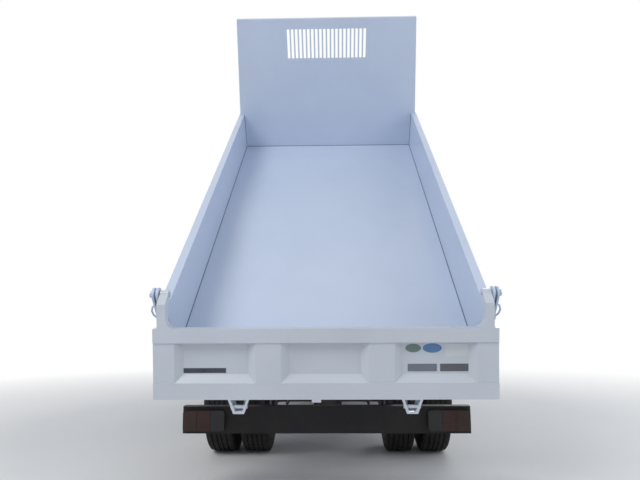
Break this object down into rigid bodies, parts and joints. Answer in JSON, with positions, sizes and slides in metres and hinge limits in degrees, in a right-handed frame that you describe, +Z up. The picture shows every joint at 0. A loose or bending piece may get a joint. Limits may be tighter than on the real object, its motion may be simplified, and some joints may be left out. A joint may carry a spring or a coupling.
{
  "type": "cab-over dump truck",
  "caption": "Light cab-over dump truck with its steel bed tipped and the tailgate hanging open; it carries loose loads and tips them out at the back.",
  "frame": {"origin": "middle of the truck's footprint on the ground, under the middle of its overall box in the stored pose", "axes": "+X to the truck's right, +Y forward, +Z up"},
  "size_m": [2.072, 4.9236, 3.5533],
  "materials": {
    "body_paint": "gloss",
    "chassis_paint": "satin",
    "cast_parts": "matte",
    "rim_paint": "satin",
    "tyre_rubber": "matte",
    "black_plastic": "matte",
    "grey_trim": "matte",
    "seat_cloth": "matte",
    "window_glass": "gloss",
    "lamp_clear": "gloss",
    "lamp_red": "gloss",
    "bare_steel": "satin",
    "ram_chrome": "gloss"
  },
  "bodies": {
    "chassis": {"frame_rails": "chassis_paint", "cross_members": "chassis_paint", "subframe": "chassis_paint", "front_axle": "cast_parts", "rear_axle": "cast_parts", "leaf_springs": "chassis_paint", "engine_block": "cast_parts", "driveline": "cast_parts", "fuel_tank": "chassis_paint", "battery_box": "black_plastic", "exhaust": "bare_steel", "front_bumper": "body_paint", "headlamps": "lamp_clear", "rear_bumper": "chassis_paint", "tail_lamps": "lamp_red", "mudguards": "black_plastic"},
    "cab": {"cab_shell": "body_paint", "cab_grille": "black_plastic", "cab_glass": "window_glass", "dashboard": "grey_trim", "steering_wheel": "black_plastic", "seats": "seat_cloth", "mirrors": "black_plastic"},
    "door_left": {"door_left": "body_paint", "door_glass_left": "window_glass"},
    "door_right": {"door_right": "body_paint", "door_glass_right": "window_glass"},
    "knuckle_left": {"knuckle_left": "cast_parts"},
    "knuckle_right": {"knuckle_right": "cast_parts"},
    "front_wheel_left": {"front_rim_left": "rim_paint", "front_tyre_left": "tyre_rubber"},
    "front_wheel_right": {"front_rim_right": "rim_paint", "front_tyre_right": "tyre_rubber"},
    "rear_wheels_left": {"rear_rims_left": "rim_paint", "rear_tyres_left": "tyre_rubber"},
    "rear_wheels_right": {"rear_rims_right": "rim_paint", "rear_tyres_right": "tyre_rubber"},
    "tie_rod": {"tie_rod": "cast_parts"},
    "bed": {"bed_floor": "body_paint", "bed_sills": "body_paint", "bed_cross_beams": "body_paint", "bed_side_left": "body_paint", "bed_side_right": "body_paint", "headboard": "body_paint"},
    "tailgate": {"tailgate": "body_paint"},
    "hoist_barrel": {"hoist_barrel": "chassis_paint"},
    "hoist_stage_1": {"hoist_stage_1": "ram_chrome"},
    "hoist_stage_2": {"hoist_stage_2": "ram_chrome"},
    "hoist_rod": {"hoist_rod": "ram_chrome"}
  },
  "joints": [
    {"name": "bed_tilt", "type": "hinge", "parent": "chassis", "child": "bed", "pos_m": [0, -1.77822, 0.775], "axis": [1, 0, 0], "range_deg": [-38.5, 11.5]},
    {"name": "tailgate_swing", "type": "hinge", "parent": "bed", "child": "tailgate", "pos_m": [0, -2.38945, 1.01331], "axis": [-1, 0, 0], "range_deg": [-29.38, 33]},
    {"name": "hoist_swing", "type": "hinge", "parent": "chassis", "child": "hoist_barrel", "pos_m": [0, -0.87222, 0.489], "axis": [1, 0, 0], "range_deg": [-19.27, 5.77]},
    {"name": "hoist_slide_1", "type": "slide", "parent": "hoist_barrel", "child": "hoist_stage_1", "axis": [0, -0.2249, 0.9744], "range_m": [-0.1981, 0.0593]},
    {"name": "hoist_slide_2", "type": "slide", "parent": "hoist_stage_1", "child": "hoist_stage_2", "axis": [0, -0.2249, 0.9744], "range_m": [-0.1981, 0.0593]},
    {"name": "hoist_slide_3", "type": "slide", "parent": "hoist_stage_2", "child": "hoist_rod", "axis": [0, -0.2249, 0.9744], "range_m": [-0.1981, 0.0593]},
    {"name": "cab_tilt", "type": "hinge", "parent": "chassis", "child": "cab", "pos_m": [0, 2.34178, 0.65], "axis": [-1, 0, 0], "range_deg": [0, 40]},
    {"name": "door_left_swing", "type": "hinge", "parent": "cab", "child": "door_left", "pos_m": [-0.854, 2.16178, 1.05], "axis": [0, 0, -1], "range_deg": [0, 65]},
    {"name": "door_right_swing", "type": "hinge", "parent": "cab", "child": "door_right", "pos_m": [0.854, 2.16178, 1.05], "axis": [0, 0, 1], "range_deg": [0, 65]},
    {"name": "steer_left", "type": "hinge", "parent": "chassis", "child": "knuckle_left", "pos_m": [-0.6, 1.37178, 0.369], "axis": [0, 0, 1], "range_deg": [-35, 35]},
    {"name": "steer_right", "type": "hinge", "parent": "chassis", "child": "knuckle_right", "pos_m": [0.6, 1.37178, 0.369], "axis": [0, 0, 1], "range_deg": [-35, 35]},
    {"name": "tie_rod_swing", "type": "hinge", "parent": "knuckle_right", "child": "tie_rod", "pos_m": [0.6, 1.22178, 0.307], "axis": [0, 0, 1], "range_deg": [-35, 35]},
    {"name": "front_left_spin", "type": "hinge", "parent": "knuckle_left", "child": "front_wheel_left", "pos_m": [-0.695, 1.37178, 0.369], "axis": [1, 0, 0], "continuous": true},
    {"name": "front_right_spin", "type": "hinge", "parent": "knuckle_right", "child": "front_wheel_right", "pos_m": [0.695, 1.37178, 0.369], "axis": [1, 0, 0], "continuous": true},
    {"name": "rear_left_spin", "type": "hinge", "parent": "chassis", "child": "rear_wheels_left", "pos_m": [-0.59, -1.12822, 0.369], "axis": [1, 0, 0], "continuous": true},
    {"name": "rear_right_spin", "type": "hinge", "parent": "chassis", "child": "rear_wheels_right", "pos_m": [0.59, -1.12822, 0.369], "axis": [1, 0, 0], "continuous": true}
  ],
  "couplings": [
    {"joint": "hoist_swing", "follows": "bed_tilt", "ratio": 0.5},
    {"joint": "hoist_slide_1", "follows": "bed_tilt", "m_per_rad": 0.29448},
    {"joint": "hoist_slide_2", "follows": "bed_tilt", "m_per_rad": 0.29448},
    {"joint": "hoist_slide_3", "follows": "bed_tilt", "m_per_rad": 0.29448},
    {"joint": "steer_left", "follows": "steer_right", "ratio": 1},
    {"joint": "tie_rod_swing", "follows": "steer_right", "ratio": -1}
  ]
}
